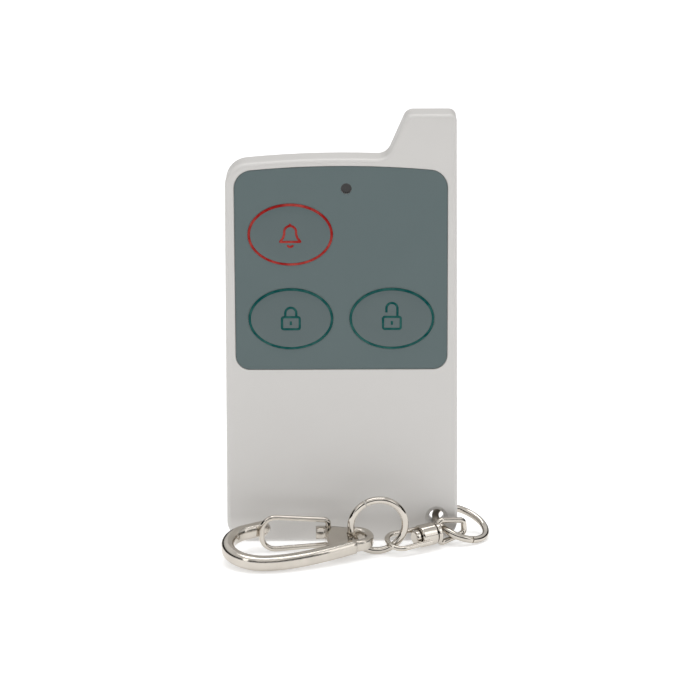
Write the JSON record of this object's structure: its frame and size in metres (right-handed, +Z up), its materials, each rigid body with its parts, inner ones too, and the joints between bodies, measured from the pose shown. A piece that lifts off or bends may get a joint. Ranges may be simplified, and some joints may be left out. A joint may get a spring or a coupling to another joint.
{
  "type": "alarm key fob",
  "caption": "Alarm key fob: a flat case with an antenna nub, a dark keypad film with oval push keys and a signal lamp, on a chain of jump rings, a swivel and a snap hook.",
  "frame": {"origin": "middle of the flat foot of the case, which it stands on", "axes": "+X across the face towards the ring hole, -Y out of the face, +Z up the case to the antenna nub"},
  "size_m": [0.0504, 0.0274, 0.0818],
  "materials": {
    "case_plastic": "satin off-white moulded plastic",
    "film": "satin slate-grey printed film",
    "key_face": "satin slate-grey",
    "plunger_plastic": "black",
    "switch_steel": "satin",
    "board": "solder-masked laminate",
    "lamp_lens": "smoked clear plastic",
    "lamp_body": "clear epoxy",
    "cell_steel": "satin",
    "contact_brass": "satin",
    "clip_steel": "satin",
    "chip_plastic": "black",
    "can_steel": "satin",
    "chip_ceramic": "matt ceramic",
    "antenna_copper": "bare copper",
    "screw_steel": "zinc-plated",
    "nickel": "bright nickel plate"
  },
  "bodies": {
    "case": {"front_cover": "case_plastic", "rear_cover": "case_plastic", "keypad_film": "film", "switch_housings": "switch_steel", "circuit_board": "board", "lamp_window": "lamp_lens", "signal_lamp": "lamp_body", "coin_cell": "cell_steel", "cell_contact": "contact_brass", "cell_clip": "clip_steel", "encoder_chip": "chip_plastic", "resonator": "can_steel", "chip_parts": "chip_ceramic", "antenna_wire": "antenna_copper", "case_screws": "screw_steel"},
    "panic_key": {"panic_button": "key_face", "panic_plunger": "plunger_plastic"},
    "arm_key": {"arm_button": "key_face", "arm_plunger": "plunger_plastic"},
    "disarm_key": {"disarm_button": "key_face", "disarm_plunger": "plunger_plastic"},
    "first_ring": {"corner_ring": "nickel"},
    "eye": {"swivel_eye": "nickel"},
    "stirrup": {"swivel_stirrup": "nickel"},
    "second_ring": {"middle_ring": "nickel"},
    "hook": {"hook_body": "nickel"},
    "gate": {"wire_gate": "nickel"}
  },
  "joints": [
    {"name": "panic_press", "type": "slide", "parent": "case", "child": "panic_key", "axis": [0, 1, 0], "range_m": [0, 0.00035], "stiffness_N_per_m": 600, "springref_m": -0.0004},
    {"name": "arm_press", "type": "slide", "parent": "case", "child": "arm_key", "axis": [0, 1, 0], "range_m": [0, 0.00035], "stiffness_N_per_m": 600, "springref_m": -0.0004},
    {"name": "disarm_press", "type": "slide", "parent": "case", "child": "disarm_key", "axis": [0, 1, 0], "range_m": [0, 0.00035], "stiffness_N_per_m": 600, "springref_m": -0.0004},
    {"name": "ring_hang", "type": "hinge", "parent": "case", "child": "first_ring", "pos_m": [0.01782, -0.0018, 0.0047], "axis": [0, 1, 0], "range_deg": [-15, 45]},
    {"name": "eye_swing", "type": "hinge", "parent": "first_ring", "child": "eye", "pos_m": [0.01968, -0.00609, 0.00285], "axis": [-0.7666, 0.4851, 0.4206], "range_deg": [-20, 14]},
    {"name": "swivel_spin", "type": "hinge", "parent": "eye", "child": "stirrup", "pos_m": [0.01577, -0.00825, 0.00267], "axis": [-0.8734, -0.4841, -0.0523], "continuous": true},
    {"name": "middle_swing", "type": "hinge", "parent": "stirrup", "child": "second_ring", "pos_m": [0.00876, -0.01214, 0.00225], "axis": [-0.4712, 0.8132, 0.3416], "range_deg": [-60, 25]},
    {"name": "hook_swing", "type": "hinge", "parent": "second_ring", "child": "hook", "pos_m": [0.0026, -0.01238, 0.00317], "axis": [0.0189, -0.1794, 0.9836], "range_deg": [-10, 45]},
    {"name": "gate_swing", "type": "hinge", "parent": "hook", "child": "gate", "pos_m": [-0.00262, -0.00976, 0.00374], "axis": [0.0189, -0.1794, 0.9836], "range_deg": [0, 25], "stiffness_Nm_per_rad": 0.02, "springref_deg": -8.59}
  ]
}
